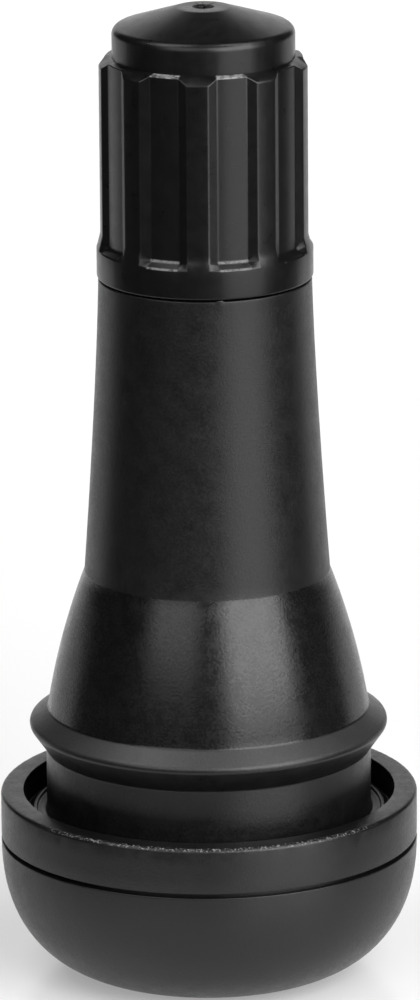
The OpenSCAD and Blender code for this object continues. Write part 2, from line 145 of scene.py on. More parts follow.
# Colours
RUBBER_DARK, RUBBER_LIGHT = (0.002, 0.002, 0.0022), (0.0045, 0.0045, 0.0048)
# The rim's grey is painted glints and the lip's grey is a painted sheen; the dust grey is real dust
LIP_SHEEN_GREY, RIM_GLINT_GREY, DUST_GREY = (0.032, 0.032, 0.033), (0.13, 0.13, 0.13), (0.5, 0.5, 0.49)
# The cap's light grey is a painted highlight on the ends of the front flutes
CAP_DARK, CAP_LIGHT, EDGE_HIGHLIGHT_GREY = (0.002, 0.002, 0.0022), (0.004, 0.004, 0.0042), (0.2, 0.2, 0.2)
STEM_DARK, STEM_LIGHT = (0.62, 0.43, 0.17), (0.8, 0.62, 0.3)
CORE_DARK, CORE_LIGHT = (0.6, 0.42, 0.17), (0.76, 0.57, 0.27)
STEEL_DARK, STEEL_LIGHT = (0.55, 0.56, 0.57), (0.74, 0.75, 0.76)
GASKET_DARK, GASKET_LIGHT = (0.4, 0.06, 0.05), (0.52, 0.1, 0.08)
SEAL_DARK, SEAL_LIGHT = (0.03, 0.03, 0.03), (0.05, 0.05, 0.05)
RUBBER_SHEEN, CAP_SHEEN, SEAL_SHEEN = 0.4, 0.33, 0.4

# Studio, in metres
AIM = Vector((0, 0, 0.022))
FLOOR_RADIUS, FLOOR_GREY, FLOOR_ROUGHNESS, FLOOR_SHEEN = 3.0, 0.55, 0.22, 0.3
LIFT_FROM, LIFT_TO, LIFT_NEAR, LIFT_FAR = 0.04, 0.4, 0.3, 0.82
BACKDROP_R, BACKDROP_H, BACKDROP_REACH, BACKDROP_GREY = 1.4, 1.05, 27.0, 0.9
CARD_NEAR, CARD_FAR, CARD_HEIGHT, CARD_GREY, CARD_ROUGHNESS = 0.036, 1.2, 0.0001, 0.02, 0.9
DARK_CARDS = ("dark_card_front", -112, 21), ("dark_card_right", 64, 116)
SOFTBOXES = (  # name, turn to the camera's right, lift, distance, width, height, radiance
    ("softbox_right", 41, 27, 0.42, 0.41, 0.36, 6.6),
    ("softbox_left", -30, 31, 0.42, 0.3, 0.29, 2.2),
    ("softbox_top_right", 75, 63, 0.42, 0.16, 0.26, 4.5),
    ("softbox_top_left", -75, 63, 0.42, 0.16, 0.26, 4.5),
)
AMBIENT = 0.03
CAMERA_AWAY, CAMERA_LIFT, CAMERA_ROLL = 0.3731, 15.617, -0.43
LENS, SENSOR, SHIFT_X = 296.8, 36, 0.0032
CLIP_START, CLIP_END = 0.01, 10


# Lines of (radius, height) points

def with_rounds(corners, steps=5):
    """Points along a line of corners; a corner's third number rounds it off."""
    line = []
    for i, corner in enumerate(corners):
        b = Vector(corner[:2])
        if len(corner) == 2:
            line.append(b)
            continue
        u = (Vector(corners[i - 1][:2]) - b).normalized()
        v = (Vector(corners[i + 1][:2]) - b).normalized()
        half = u.angle(v) / 2
        reach = corner[2] / math.tan(half)
        centre = b + (u + v).normalized() * corner[2] / math.sin(half)
        p, q = b + u * reach - centre, b + v * reach - centre
        start = math.atan2(p.y, p.x)
        sweep = math.remainder(math.atan2(q.y, q.x) - start, 2 * math.pi)
        for k in range(steps + 1):
            angle = start + sweep * k / steps
            line.append(centre + corner[2] * Vector((math.cos(angle), math.sin(angle))))
    return line


def bulged(a, b, bulge, steps=16):
    """Points on the arc from a to b that swells out to the right by that much."""
    a, b = Vector(a), Vector(b)
    half_chord = (b - a).length / 2
    r = (half_chord ** 2 + bulge ** 2) / (2 * bulge)
    along = (b - a).normalized()
    right = Vector((along.y, -along.x))
    centre = (a + b) / 2 + right * (bulge - r)
    half_sweep = math.asin(half_chord / r)
    middle = math.atan2(right.y, right.x)
    angles = [middle + half_sweep * (2 * k / steps - 1) for k in range(steps + 1)]
    return [centre + r * Vector((math.cos(t), math.sin(t))) for t in angles]


def bowl_curve(steps=24):
    """Points up the base's bowl, from its flat underside to the parting groove."""
    points = []
    for k in range(steps + 1):
        t = math.pi / 2 * k / steps
        points.append(Vector((
            FLAT_R + (BASE_R - FLAT_R) * math.sin(t) ** (2 / BOWL_POWER),
            BOWL_H * (1 - math.cos(t) ** (2 / BOWL_POWER)))))
    return points


def sleeve_curve(steps=24):
    """Points up the sleeve, which narrows less and less."""
    ups = [k / steps for k in range(steps + 1)]
    return [Vector((SLEEVE_R + (SHOULDER_R - SLEEVE_R) * (1 - up) ** SLEEVE_POWER,
                    SHOULDER_Z + (SLEEVE_TOP - SHOULDER_Z) * up)) for up in ups]


# Modelling

def off_axis(co):
    return math.hypot(co.x, co.y) / MM


def turn_of(co):
    return math.degrees(math.atan2(co.y, co.x))


def activate(piece):
    """Leaves edit mode and makes this the only selected object."""
    if bpy.context.mode != "OBJECT":
        bpy.ops.object.mode_set(mode="OBJECT")
    bpy.ops.object.select_all(action="DESELECT")
    bpy.context.view_layer.objects.active = piece
    piece.select_set(True)


def draw(name, line, turn=0.0):
    """Draws a line by extruding a vertex, at that turn round the axis, and stays in edit mode."""
    bpy.ops.object.select_all(action="DESELECT")
    bpy.ops.mesh.primitive_plane_add(size=MM)
    piece = bpy.context.object
    piece.name = piece.data.name = name
    bpy.ops.object.mode_set(mode="EDIT")
    bpy.ops.mesh.select_mode(type="VERT")
    bpy.ops.mesh.merge(type="CENTER")
    outward = Vector((math.cos(math.radians(turn)), math.sin(math.radians(turn)), 0))
    places = [(outward * r + Vector((0, 0, z))) * MM for r, z in line]
    bpy.ops.transform.translate(value=places[0])
    for a, b in zip(places, places[1:]):
        bpy.ops.mesh.extrude_region_move(TRANSFORM_OT_translate={"value": b - a})
    return piece


def spin(steps, degrees):
    """Spins what is selected anticlockwise round the axis; the operator itself goes clockwise."""
    bpy.ops.mesh.spin(steps=steps, angle=-math.radians(degrees), center=(0, 0, 0), axis=(0, 0, 1),
                      use_auto_merge=False)


def close_up():
    """Merges the seam of a spun shape and turns its faces outwards."""
    bpy.ops.mesh.select_all(action="SELECT")
    bpy.ops.mesh.remove_doubles(threshold=MERGE)
    bpy.ops.mesh.normals_make_consistent(inside=False)
    bpy.ops.object.mode_set(mode="OBJECT")


def turned(name, line, steps):
    """A closed shape turned from a line."""
    piece = draw(name, line)
    bpy.ops.mesh.select_all(action="SELECT")
    spin(steps, 360)
    close_up()
    return piece


def part_turned(name, line, turn, degrees, steps):
    """An open sheet swept from a line, through part of a turn."""
    piece = draw(name, line, turn)
    bpy.ops.mesh.select_all(action="SELECT")
    spin(steps, degrees)
    bpy.ops.object.mode_set(mode="OBJECT")
    return piece


def pick(piece, kind, wanted):
    """Goes into edit mode with only those vertices, edges or faces selected that are wanted."""
    activate(piece)
    bpy.ops.object.mode_set(mode="EDIT")
    modes = {"vertices": "VERT", "edges": "EDGE", "polygons": "FACE"}
    bpy.ops.mesh.select_mode(type=modes[kind])
    bpy.ops.mesh.select_all(action="DESELECT")
    bpy.ops.object.mode_set(mode="OBJECT")
    for part in getattr(piece.data, kind):
        part.select = wanted(part)
    bpy.ops.object.mode_set(mode="EDIT")


def smooth(piece, degrees):
    activate(piece)
    bpy.ops.object.shade_smooth_by_angle(angle=math.radians(degrees))


def add_modifier(piece, kind, **settings):
    """Adds a modifier with these settings and applies it."""
    activate(piece)
    bpy.ops.object.modifier_add(type=kind)
    modifier = piece.modifiers[-1]
    for key, value in settings.items():
        setattr(modifier, key, value)
    bpy.ops.object.modifier_apply(modifier=modifier.name)


def fuse(piece, other):
    """Unites two closed shapes into the first one."""
    add_modifier(piece, "BOOLEAN", operation="UNION", solver="EXACT", object=other)
    bpy.data.objects.remove(other)


def sharp_edges(piece, degrees, wanted):
    """Numbers of the edges that bend by more than that and whose middle is wanted."""
    mesh = piece.data
    faces = {}
    for face in mesh.polygons:
        for key in face.edge_keys:
            faces.setdefault(key, []).append(face.normal)
    limit = math.radians(degrees)

    def is_sharp(edge):
        sides = faces.get(tuple(sorted(edge.vertices)), ())
        if len(sides) != 2 or sides[0].angle(sides[1], 0) < limit:
            return False
        a, b = (mesh.vertices[i].co for i in edge.vertices)
        return wanted((a + b) / 2)

    return {e.index for e in mesh.edges if is_sharp(e)}


def round_edges(piece, width, degrees, wanted):
    """Rounds the sharp edges off, in object mode before and after."""
    chosen = sharp_edges(piece, degrees, wanted)
    pick(piece, "edges", lambda e: e.index in chosen)
    bpy.ops.mesh.bevel(offset=width * MM, segments=3, profile=0.5, clamp_overlap=True)
    bpy.ops.object.mode_set(mode="OBJECT")


def helix(name, base_r, crest_r, first_z, turns, steps=64, fade=20):
    """A right-handed thread ridge with sloping sides that runs out at both ends."""
    base_half, crest_half = BASE_SHARE * PITCH, CREST_SHARE * PITCH
    section = [(base_r, first_z - base_half), (crest_r, first_z - crest_half),
               (crest_r, first_z + crest_half), (base_r, first_z + base_half)]
    piece = draw(name, section)
    bpy.ops.mesh.select_all(action="SELECT")
    bpy.ops.mesh.edge_face_add()
    bpy.ops.mesh.delete(type="ONLY_FACE")
    bpy.ops.object.mode_set(mode="OBJECT")
    add_modifier(piece, "SCREW", angle=math.radians(360), screw_offset=PITCH * MM,
                 iterations=turns, steps=steps, render_steps=steps, axis="Z",
                 use_merge_vertices=False)
    sections = turns * steps
    first = piece.data.vertices[:len(section)]
    crest = [v.index for v in first if abs(off_axis(v.co) - crest_r) < NEAR]
    for k in range(fade):
        keep = (k + 1) / (fade + 1)
        low = (base_r + (crest_r - base_r) * keep) / crest_r
        for at in (k, sections - k):
            ring = {at * len(section) + i for i in crest}
            pick(piece, "vertices", lambda v: v.index in ring)
            bpy.ops.transform.resize(value=(low, low, 1), center_override=(0, 0, 0))
    bpy.ops.mesh.select_all(action="DESELECT")
    bpy.ops.mesh.select_non_manifold()
    bpy.ops.mesh.fill_holes(sides=8)
    close_up()
    return piece


# Pieces

def make_rubber_body():
    """The moulded rubber: bowl, parting groove, rim and recess, neck, lip, flare and sleeve."""
    flare = bulged((CREASE_R, CREASE_Z), (SHOULDER_R, SHOULDER_Z), FLARE_BULGE)
    sleeve = sleeve_curve()
    line = with_rounds([(HOLE_R, SOLE_Z), (HOLE_R, 0, HOLE_EDGE), (FLAT_R - FLAT_LOOP, 0)])
    line += bowl_curve()[1:-1]
    line += with_rounds([
        (BASE_R, BOWL_H - BOWL_LOOP), (BASE_R, BOWL_H, GROOVE_EDGE), (GROOVE_R, BOWL_H),
        (GROOVE_R, GROOVE_TOP), (BASE_R, GROOVE_TOP, GROOVE_EDGE),
        *((BASE_R, z) for z in BAND_LOOPS), (BASE_R, RIM_H, RIM_ROUND),
        (RIM_INSIDE_R, RIM_H, RIM_INSIDE_EDGE), (RIM_INSIDE_R, CHANNEL_Z, CHANNEL_ROUND),
        (BEAD_OUT_R, CHANNEL_Z, BEAD_EDGE), (BEAD_OUT_R, BEAD_Z, BEAD_EDGE),
        (BEAD_IN_R, BEAD_Z, BEAD_EDGE), (BEAD_IN_R, FLOOR_Z, FLOOR_EDGE),
        (NECK_R, FLOOR_Z, NECK_FOOT_ROUND), (NECK_R, NECK_LOOP),
        (NECK_R, NECK_TOP, NECK_TOP_ROUND), (LIP_R, LIP_Z, LIP_ROUND),
        (CREASE_R, CREASE_Z, CREASE_ROUND), tuple(flare[1])])
    # Two loops close to the shoulder keep the crease between flare and sleeve crisp
    line += flare[2:-1] + [flare[-1].lerp(flare[-2], FLARE_END_LOOP),
                           sleeve[0].lerp(sleeve[1], SLEEVE_START_LOOP)]
    line += sleeve[1:-1]
    line += with_rounds([
        (SLEEVE_R + 0.001, SLEEVE_TOP - SLEEVE_LOOP), (SLEEVE_R, SLEEVE_TOP, SLEEVE_EDGE),
        (THREAD_R, SLEEVE_TOP), (THREAD_R, THREAD_END), (SHANK_R, THREAD_END - THREAD_RUNOUT),
        (SHANK_R, FOOT_TAPER_TOP), (FOOT_R, FOOT_TOP), (FOOT_R, SOLE_Z), (HOLE_R, SOLE_Z)])
    body = turned("rubber_body_moulded", line, BODY_COLUMNS)

    def on_rim_edge(v):
        low = v.co.z / MM - RIM_H
        return (-RIM_ROUND + RIM_KEPT < low < NEAR
                and off_axis(v.co) > BASE_R - RIM_ROUND - NEAR)

    def in_torn_part(v):
        return abs(turn_of(v.co) - TORN_TURN) < TORN_REACH

    def on_burr(v):
        return (v.co.z > (SLEEVE_TOP - BURR_H) * MM and off_axis(v.co) > SLEEVE_R - BURR_W
                and abs(turn_of(v.co) - BURR_TURN) < BURR_REACH)

    # Torn flash along the rim's outer edge, and a burr on the sleeve's top edge
    pick(body, "vertices", lambda v: on_rim_edge(v) and in_torn_part(v))
    bpy.ops.transform.vertex_random(offset=TORN_DEPTH * MM, uniform=0.4, normal=0.6, seed=11)
    pick(body, "vertices", lambda v: on_rim_edge(v) and not in_torn_part(v))
    bpy.ops.transform.vertex_random(offset=WORN_DEPTH * MM, uniform=0.4, normal=0.6, seed=12)
    pick(body, "vertices", on_burr)
    bpy.ops.transform.translate(value=(0, -BURR_OUT * MM, BURR_UP * MM))
    smooth(body, 40)
    return body


def make_cap():
    """The ribbed cap: a spun shell with closer columns at the ribs, which are then drawn out."""
    foot = CAP_BORE_R + CAP_MOUTH_CHAMFER, CAP_Z
    outside = with_rounds([foot, (BAND_R, CAP_Z, CAP_FOOT_ROUND), (BAND_R, BAND_TOP - BAND_LOOP)])
    crown = with_rounds([
        (CROWN_R, RIB_TOP), (CROWN_R, DOME_Z, CROWN_ROUND), (TOP_R, DOME_TOP, TOP_ROUND),
        (TOP_FLAT_R, DOME_TOP)], steps=8)
    inside = with_rounds([
        (0, HOLLOW_TOP), (HOLLOW_R, HOLLOW_TOP, HOLLOW_ROUND), (HOLLOW_R, CEILING),
        (POCKET_R, CEILING), (POCKET_R, STEM_TOP), (CAP_BORE_R, STEM_TOP - MOUTH_CHAMFER),
        (CAP_BORE_R, CAP_Z + CAP_MOUTH_CHAMFER), foot])
    flutes, gate = ([Vector(point) for point in points] for points in (FLUTE_LINE, GATE_LINE))
    cap = draw("ribbed_cap", outside + flutes + crown + gate + inside, RIB_TURN)
    bpy.ops.mesh.select_all(action="SELECT")
    flute = 360 / RIBS - RIB_FACE - 2 * RIB_SIDE
    half_face, side = (3, RIB_FACE / 2), (1, RIB_SIDE)
    for _ in range(RIBS):
        for steps, degrees in (half_face, side, (8, flute), side, half_face):
            spin(steps, degrees)
    close_up()

    def on_rib(v, point):
        tight = 0.003
        off_rib = abs(math.remainder(turn_of(v.co) - RIB_TURN, 360 / RIBS))
        return (abs(off_axis(v.co) - point[0]) < tight and abs(v.co.z / MM - point[1]) < tight
                and off_rib < RIB_FACE / 2 + 0.1)

    for fluted, ribbed in zip(FLUTE_LINE, RIB_LINE):
        pick(cap, "vertices", lambda v: on_rib(v, fluted))
        out = ribbed[0] / fluted[0]
        bpy.ops.transform.resize(value=(out, out, 1), center_override=(0, 0, 0))
        bpy.ops.transform.translate(value=(0, 0, (ribbed[1] - fluted[1]) * MM))
    bpy.ops.object.mode_set(mode="OBJECT")
    round_edges(cap, CAP_EDGE, CAP_EDGE_BEND,
                lambda at: off_axis(at) > FLUTE_R - 0.1 and at.z > (LEDGE_Z - 0.05) * MM)

    # Torn stub of the sprue in the middle of the top
    pick(cap, "vertices",
         lambda v: v.co.z > (DOME_TOP - STUB_DEPTH) * MM and off_axis(v.co) < STUB_R)
    bpy.ops.transform.vertex_random(offset=STUB_TEAR * MM, uniform=0.6, normal=0.4, seed=7)
    bpy.ops.object.mode_set(mode="OBJECT")

    # The cap's ridge runs in the stem's groove, half a pitch higher
    fuse(cap, helix("cap_thread", CAP_BORE_R + CAP_RIDGE_SINK, CAP_CREST_R,
                    FIRST_THREAD_Z + PITCH / 2 + PITCH, CAP_TURNS))
    smooth(cap, 35)
    add_modifier(cap, "WEIGHTED_NORMAL", keep_sharp=True)
    return cap


def make_stem():
    """The brass stem: foot, shank, bored chamber, and the cap thread round its upper end."""
    stem = turned("brass_stem_threaded", with_rounds([
        (AIR_R, SOLE_Z), (FOOT_R, SOLE_Z), (FOOT_R, FOOT_TOP), (SHANK_R, FOOT_TAPER_TOP),
        (SHANK_R, THREAD_END - THREAD_RUNOUT), (ROOT_R, THREAD_END - THREAD_RUNOUT / 2),
        (ROOT_R, STEM_TOP - MOUTH_EDGE), (ROOT_R - MOUTH_EDGE, STEM_TOP),
        (CHAMBER_R + MOUTH_EDGE, STEM_TOP, MOUTH_ROUND), (CHAMBER_R, STEM_TOP - MOUTH_DEPTH),
        (CHAMBER_R, CHAMBER_Z), (SEAT_TOP_R, CHAMBER_Z), (SEAT_TOP_R, FLANGE_Z),
        (SEAT_R, GASKET_Z), (SEAT_R, CORE_BORE_Z), (AIR_R, CORE_BORE_Z - BORE_TAPER),
        (AIR_R, SOLE_Z)]), STEM_COLUMNS)
    fuse(stem, helix("stem_thread", ROOT_R - RIDGE_SINK, THREAD_R, FIRST_THREAD_Z, STEM_TURNS))
    smooth(stem, 30)
    return stem


def make_plug():
    """The core's plug: a ring under a blade with two flats, drilled for the pin."""
    ring = turned("core_plug_turned", with_rounds([
        (SPIGOT_R, PLUG_Z), (PLUG_R, PLUG_Z, PLUG_FOOT_ROUND), (PLUG_R, BLADE_Z, PLUG_ROUND),
        (PIN_HOLE_R, BLADE_Z), (PIN_HOLE_R, BLADE_Z - PLUG_FLOOR),
        (SPIGOT_R, BLADE_Z - PLUG_FLOOR), (SPIGOT_R, PLUG_Z)]), PLUG_COLUMNS)
    blade = turned("plug_blade", with_rounds([
        (BLADE_HOLE_R, BLADE_Z - BLADE_ROOT), (BLADE_R, BLADE_Z - BLADE_ROOT),
        (BLADE_R, PLUG_TOP, BLADE_ROUND), (BLADE_HOLE_R + HOLE_CHAMFER, PLUG_TOP),
        (BLADE_HOLE_R, PLUG_TOP - HOLE_CHAMFER), (BLADE_HOLE_R, BLADE_Z - BLADE_ROOT)]),
        PLUG_COLUMNS)
    for side in (1, -1):
        pick(blade, "vertices", lambda v: True)
        bpy.ops.mesh.bisect(plane_co=(0, side * BLADE_HALF_W * MM, 0), plane_no=(0, side, 0),
                            use_fill=True, clear_outer=True, threshold=MERGE / 10)
    bpy.ops.object.mode_set(mode="OBJECT")
    round_edges(blade, BLADE_EDGE, 30, lambda at: abs(at.y) > (BLADE_HALF_W - NEAR) * MM)
    fuse(ring, blade)
    smooth(ring, 30)
    return ring


def make_pin():
    """The core's pin: rivet, shaft, collar for the spring, and head."""
    pin = turned("core_pin_turned", with_rounds([
        (0, PIN_Z), (RIVET_R, PIN_Z, RIVET_ROUND), (RIVET_R, CUP_Z), (PIN_R, CUP_Z),
        (PIN_R, COLLAR_Z), (COLLAR_R, COLLAR_Z, COLLAR_ROUND),
        (COLLAR_R, COLLAR_TOP, COLLAR_ROUND), (PIN_R, COLLAR_TOP),
        (PIN_R, HEAD_Z - HEAD_FOOT_H, HEAD_FOOT_ROUND), (PIN_HEAD_R, HEAD_Z, HEAD_FOOT_ROUND),
        (PIN_HEAD_R, PIN_TOP - HEAD_ROUND_H, HEAD_ROUND), (TIP_R, PIN_TOP, TIP_ROUND),
        (0, PIN_TOP)]), PIN_COLUMNS)
    smooth(pin, 35)
    return pin


def make_spring():
    """The core's spring, smoothed from a copy of its solid."""
    activate(frame["nodes"]["core_spring"])
    bpy.ops.object.duplicate()
    spring = bpy.context.object
    spring.parent = None
    spring.name = spring.data.name = "core_spring_wire"
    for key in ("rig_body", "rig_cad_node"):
        del spring[key]
    bpy.ops.object.mode_set(mode="EDIT")
    bpy.ops.mesh.select_all(action="SELECT")
    bpy.ops.mesh.remove_doubles(threshold=MERGE)
    bpy.ops.mesh.tris_convert_to_quads()
    bpy.ops.object.mode_set(mode="OBJECT")
    add_modifier(spring, "SUBSURF", levels=1, render_levels=1)
    smooth(spring, 60)
    return spring


# Shader nodes

def wire(tree, source, target):
    tree.links.new(source, target)


def math_node(tree, operation, a, b):
    node = tree.nodes.new("ShaderNodeMath")
    node.operation = operation
    for socket, value in zip(node.inputs, (a, b)):
        if isinstance(value, (int, float)):
            socket.default_value = value
        else:
            wire(tree, value, socket)
    return node.outputs[0]


def plus(tree, a, b):
    return math_node(tree, "ADD", a, b)


def times(tree, a, b):
    return math_node(tree, "MULTIPLY", a, b)


def noise(tree, place, scale, detail=2.0, roughness=0.5):
    node = tree.nodes.new("ShaderNodeTexNoise")
    node.inputs["Detail"].default_value = detail
    node.inputs["Roughness"].default_value = roughness
    wire(tree, place, node.inputs["Vector"])
    if isinstance(scale, (int, float)):
        node.inputs["Scale"].default_value = scale
    else:
        wire(tree, scale, node.inputs["Scale"])
    return node.outputs["Fac"]


def remap(tree, value, low, high, to_low, to_high):
    """The value carried over from one range to another and kept inside it."""
    node = tree.nodes.new("ShaderNodeMapRange")
    ends = ("From Min", low), ("From Max", high), ("To Min", to_low), ("To Max", to_high)
    for label, number in ends:
        node.inputs[label].default_value = number
    wire(tree, value, node.inputs["Value"])
    return node.outputs["Result"]


def step_at(tree, value, low, high, flip=False):
    """Zero below and one above two lengths in millimetres, or the other way round."""
    return remap(tree, value, low * MM, high * MM, *((1, 0) if flip else (0, 1)))


def band(tree, value, low, high, soft):
    """One between two lengths in millimetres, fading to zero outside them."""
    rise = step_at(tree, value, low - soft, low)
    return times(tree, rise, step_at(tree, value, high, high + soft, flip=True))


def split_place(tree, place):
    """The place's X, Y and Z."""
    node = tree.nodes.new("ShaderNodeSeparateXYZ")
    wire(tree, place, node.inputs["Vector"])
    return node.outputs["X"], node.outputs["Y"], node.outputs["Z"]


def from_axis(tree, x, y):
    square = plus(tree, times(tree, x, x), times(tree, y, y))
    node = tree.nodes.new("ShaderNodeMath")
    node.operation = "SQRT"
    wire(tree, square, node.inputs[0])
    return node.outputs[0]


def mix_colour(tree, factor, dark, light):
    node = tree.nodes.new("ShaderNodeMix")
    node.data_type = "RGBA"
    wire(tree, factor, node.inputs["Factor"])
    for socket, colour in ((node.inputs["A"], dark), (node.inputs["B"], light)):
        if isinstance(colour, tuple):
            socket.default_value = (*colour, 1)
        else:
            wire(tree, colour, socket)
    return node.outputs["Result"]


def bump(tree, shader, height, strength, depth):
    node = tree.nodes.new("ShaderNodeBump")
    node.inputs["Strength"].default_value = strength
    node.inputs["Distance"].default_value = depth * MM
    wire(tree, height, node.inputs["Height"])
    wire(tree, node.outputs["Normal"], shader.inputs["Normal"])


# Shared effects

def new_group(name, inputs, outputs):
    group = bpy.data.node_groups.new(name, "ShaderNodeTree")
    for label, kind, value in inputs:
        socket = group.interface.new_socket(label, in_out="INPUT", socket_type=kind)
        if value is not None:
            socket.default_value = value
    for label in outputs:
        group.interface.new_socket(label, in_out="OUTPUT", socket_type="NodeSocketFloat")
    given = group.nodes.new("NodeGroupInput").outputs
    return group, given, group.nodes.new("NodeGroupOutput").inputs


def make_grain_group():
    """Fine skin of a moulded surface: height of the grain, and a slow mottle."""
    group, given, result = new_group(
        "moulded_grain",
        [("Place", "NodeSocketVector", None), ("Grain", "NodeSocketFloat", 9000.0)],
        ["Height", "Mottle"])
    slow = times(group, given["Grain"], 0.16)
    wire(group, noise(group, given["Place"], given["Grain"], 3.0, 0.6), result["Height"])
    wire(group, noise(group, given["Place"], slow, 3.0, 0.65), result["Mottle"])
    return group


def make_dust_group():
    """Sparse specks of dust, each in its own cell."""
    group, given, result = new_group(
        "dust_specks",
        [("Place", "NodeSocketVector", None), ("Cells", "NodeSocketFloat", 700.0),
         ("Share", "NodeSocketFloat", 0.1)],
        ["Specks"])
    cells = group.nodes.new("ShaderNodeTexVoronoi")
    wire(group, given["Place"], cells.inputs["Vector"])
    wire(group, given["Cells"], cells.inputs["Scale"])
    split = group.nodes.new("ShaderNodeSeparateColor")
    wire(group, cells.outputs["Color"], split.inputs["Color"])
    chosen = math_node(group, "LESS_THAN", split.outputs["Red"], given["Share"])
    near = remap(group, cells.outputs["Distance"], 0.035, 0.06, 1.0, 0.0)
    wire(group, times(group, chosen, near), result["Specks"])
    return group


def make_turned_group():
    """Marks that a lathe tool leaves round the axis, and slow stains."""
    group, given, result = new_group(
        "turned_marks",
        [("Place", "NodeSocketVector", None), ("Fineness", "NodeSocketFloat", 9000.0)],
        ["Height", "Streak"])
    x, y, height = split_place(group, given["Place"])
    ring = group.nodes.new("ShaderNodeCombineXYZ")
    wire(group, from_axis(group, x, y), ring.inputs["X"])
    wire(group, height, ring.inputs["Z"])
    wire(group, noise(group, ring.outputs["Vector"], given["Fineness"]), result["Height"])
    wire(group, noise(group, given["Place"], 900.0, 4.0, 0.6), result["Streak"])
    return group


# Finishes

def new_material(name, roughness, metallic=0.0, specular=0.5):
    material = bpy.data.materials.new(name)
    material.use_nodes = True
    tree = material.node_tree
    shader = tree.nodes["Principled BSDF"]
    shader.inputs["Roughness"].default_value = roughness
    shader.inputs["Metallic"].default_value = metallic
    shader.inputs["Specular IOR Level"].default_value = specular
    place = tree.nodes.new("ShaderNodeTexCoord").outputs["Object"]
    return material, tree, shader, place


def use_group(tree, group, place, **values):
    node = tree.nodes.new("ShaderNodeGroup")
    node.node_tree = group
    wire(tree, place, node.inputs["Place"])
    for label, value in values.items():
        node.inputs[label].default_value = value
    return node.outputs


def make_rubber_finish(grain, dust):
    """Black rubber: dull sleeve, satin flare, painted sheen on lip, painted glints on torn rim."""
    material, tree, shader, place = new_material("body_rubber_moulded", 0.5, specular=RUBBER_SHEEN)
    skin = use_group(tree, grain, place, Grain=8000.0)
    specks = use_group(tree, dust, place, Cells=420.0, Share=0.03)["Specks"]
    x, y, height = split_place(tree, place)
    sleeve = step_at(tree, height, SHOULDER_Z - 0.02, SHOULDER_Z + 0.02)
    flare = times(tree, step_at(tree, height, CREASE_Z - 0.02, CREASE_Z + 0.05),
                  math_node(tree, "SUBTRACT", 1, sleeve))
    lip = times(tree, step_at(tree, height, LIP_Z - 0.05, LIP_Z + 0.1),
                step_at(tree, height, CREASE_Z - 0.05, CREASE_Z + 0.02, flip=True))

    rough = 0.36
    for part, change in ((sleeve, 0.04), (flare, -0.09), (lip, 0.06)):
        rough = plus(tree, rough, times(tree, part, change))
    rough = plus(tree, rough, remap(tree, skin["Mottle"], 0.3, 0.7, -0.04, 0.04))
    rough = plus(tree, rough, remap(tree, skin["Height"], 0.3, 0.7, -0.06, 0.06))
    wire(tree, rough, shader.inputs["Roughness"])

    # Painted sheen: the lip's upper face is painted a lighter grey, broken up by fine noise
    lip_sheen = times(tree, lip, remap(tree, noise(tree, place, 15000.0), 0.3, 0.7, 0.35, 0.9))
    # Painted glints: grey specks along the rim's outer edge, only at the front, over the torn flash
    rim_edge = times(tree, band(tree, height, RIM_H - 0.1, RIM_H - 0.01, 0.02),
                     step_at(tree, from_axis(tree, x, y), BASE_R - 0.25, BASE_R - 0.2))
    front = step_at(tree, y, -5.5, -7.0)
    glint_breaks = remap(tree, noise(tree, place, 9000.0, 3.0), 0.53, 0.62, 0, 1)
    painted_rim_glints = times(tree, glint_breaks, times(tree, rim_edge, front))
    colour = mix_colour(tree, skin["Mottle"], RUBBER_DARK, RUBBER_LIGHT)
    for mask, grey in ((lip_sheen, LIP_SHEEN_GREY), (painted_rim_glints, RIM_GLINT_GREY), (specks, DUST_GREY)):
        colour = mix_colour(tree, mask, colour, grey)
    wire(tree, colour, shader.inputs["Base Color"])
    bump(tree, shader, skin["Height"], 0.35, 0.02)
    return material


def make_cap_finish(grain):
    """Black moulded plastic, satin skin, with painted highlights at the ends of the front flutes."""
    material, tree, shader, place = new_material("cap_plastic_moulded", 0.4, specular=CAP_SHEEN)
    skin = use_group(tree, grain, place, Grain=11000.0)
    x, y, height = split_place(tree, place)
    turn = math_node(tree, "ARCTAN2", y, x)
    off_rib = math_node(tree, "PINGPONG",
                        math_node(tree, "SUBTRACT", turn, math.radians(RIB_TURN)), math.pi / RIBS)
    between = remap(tree, off_rib, math.radians(10.6), math.radians(11.6), 0, 1)
    # Painted highlights: light grey lines along the flute ends, only in the flutes in front and
    # broken by noise; they also roughen the surface there
    in_flute = times(tree, between, step_at(tree, y, -3.2, -3.6))
    ends = band(tree, height, FLUTE_TOP - 0.05, FLUTE_TOP + 0.03, 0.02)
    for low, high in ((LEDGE_Z - 0.04, LEDGE_Z + 0.03), (FLUTE_Z - 0.1, FLUTE_Z - 0.02)):
        ends = plus(tree, ends, times(tree, band(tree, height, low, high, 0.02), 0.6))
    broken = remap(tree, noise(tree, place, 5000.0, 3.0, 0.6), 0.36, 0.56, 0.15, 1)
    painted_edge_highlights = times(tree, times(tree, ends, in_flute), broken)
    satin = remap(tree, skin["Mottle"], 0.3, 0.7, 0.27, 0.35)
    wire(tree, plus(tree, satin, times(tree, painted_edge_highlights, 0.3)), shader.inputs["Roughness"])
    plain = mix_colour(tree, skin["Mottle"], CAP_DARK, CAP_LIGHT)
    wire(tree, mix_colour(tree, painted_edge_highlights, plain, EDGE_HIGHLIGHT_GREY), shader.inputs["Base Color"])
    bump(tree, shader, skin["Height"], 0.2, 0.012)
    return material


def make_metal_finish(name, turned_marks, dark, light, roughness):
    """Turned metal with tool marks round the axis and slow stains."""
    material, tree, shader, place = new_material(name, roughness, metallic=1.0)
    marks = use_group(tree, turned_marks, place)
    wire(tree, mix_colour(tree, marks["Streak"], dark, light), shader.inputs["Base Color"])
    wire(tree, remap(tree, marks["Streak"], 0.3, 0.7, roughness - 0.06, roughness + 0.08),
         shader.inputs["Roughness"])
    bump(tree, shader, marks["Height"], 0.25, 0.01)
    return material


